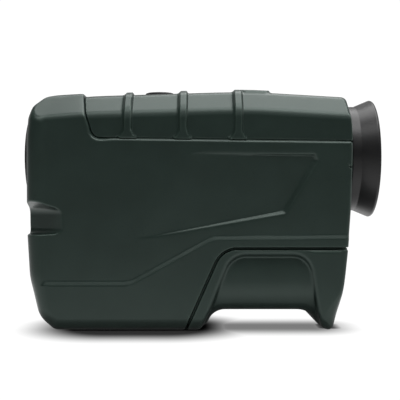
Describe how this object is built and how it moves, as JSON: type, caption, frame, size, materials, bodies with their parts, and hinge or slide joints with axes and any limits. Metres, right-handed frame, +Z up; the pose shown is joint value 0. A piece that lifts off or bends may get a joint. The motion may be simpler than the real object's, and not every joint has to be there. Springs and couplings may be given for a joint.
{
  "type": "laser rangefinder",
  "caption": "Hand-held monocular laser rangefinder with a ribbed dark green housing, flared rubber eyecup, roof buttons, sliding battery cover with an arched grip and a tripod socket.",
  "frame": {"origin": "centre of the footprint of the bounding box, on the base plane", "axes": "+X towards the eyepiece, +Y to the user's right, +Z up; the picture looks along +Y"},
  "size_m": [0.104, 0.0414, 0.0696],
  "materials": {
    "shell_green": "fine matt moulded texture, dark green",
    "cover_green": "fine matt moulded texture, dark green",
    "black_plastic": "satin black moulding",
    "button_black": "matt black soft cap",
    "rubber_black": "matt black rubber",
    "white_plastic": "plain white moulding",
    "lens_glass": "polished, coated",
    "prism_glass": "polished",
    "black_metal": "black anodised",
    "bright_metal": "plain turned",
    "steel": "zinc plated",
    "brass": "turned brass",
    "board_green": "solder-masked laminate",
    "flex_amber": "flat film cable",
    "battery_wrap": "printed sleeve left plain"
  },
  "bodies": {
    "housing": {"left_housing": "shell_green", "right_housing": "shell_green", "top_cover": "cover_green", "housing_screws": "steel", "tripod_bush": "brass", "objective_ring": "black_plastic", "objective_seal": "rubber_black", "objective_tube": "black_metal", "objective_crown": "lens_glass", "objective_flint": "lens_glass", "laser_ring": "black_plastic", "laser_lens": "lens_glass", "laser_tube": "black_metal", "laser_holder": "bright_metal", "laser_diode": "brass", "prism_frame": "black_metal", "entry_prism": "prism_glass", "roof_prism": "prism_glass", "receiver_diode": "bright_metal", "receiver_board": "board_green", "display_glass": "lens_glass", "display_frame": "black_plastic", "display_flex": "flex_amber", "eyepiece_barrel": "black_metal", "dioptre_clip": "steel", "main_board": "board_green", "board_chips": "black_plastic", "board_screws": "steel", "key_board": "board_green", "key_flex": "flex_amber", "key_screws": "steel", "switch_bases": "bright_metal", "battery_bay": "black_plastic", "bay_screws": "steel", "battery": "battery_wrap", "positive_plate": "steel", "negative_plate": "steel", "battery_spring": "steel"},
    "power_button": {"power_button": "button_black", "power_plunger": "white_plastic"},
    "mode_button": {"mode_button": "button_black", "mode_plunger": "white_plastic"},
    "dioptre": {"dioptre_ring": "black_plastic", "eyecup": "rubber_black"},
    "ocular": {"ocular_cell": "black_metal", "field_lens": "lens_glass", "eye_lens": "lens_glass", "ocular_retainer": "black_metal", "drive_pins": "steel"},
    "battery_cover": {"battery_cover": "shell_green"}
  },
  "joints": [
    {"name": "power_press", "type": "slide", "parent": "housing", "child": "power_button", "axis": [0, 0, -1], "range_m": [0, 0.0005], "stiffness_N_per_m": 900, "springref_m": -0.0006},
    {"name": "mode_press", "type": "slide", "parent": "housing", "child": "mode_button", "axis": [0, 0, -1], "range_m": [0, 0.0005], "stiffness_N_per_m": 900, "springref_m": -0.0006},
    {"name": "dioptre_turn", "type": "hinge", "parent": "housing", "child": "dioptre", "pos_m": [0.0463, 0, 0.05], "axis": [1, 0, 0], "range_deg": [-75, 75]},
    {"name": "ocular_focus", "type": "slide", "parent": "housing", "child": "ocular", "axis": [1, 0, 0], "range_m": [-0.0009, 0.0009]},
    {"name": "battery_cover_slide", "type": "slide", "parent": "housing", "child": "battery_cover", "axis": [1, 0, 0], "range_m": [0, 0.046]}
  ],
  "couplings": [
    {"joint": "ocular_focus", "follows": "dioptre_turn", "m_per_rad": 0.00068755}
  ]
}
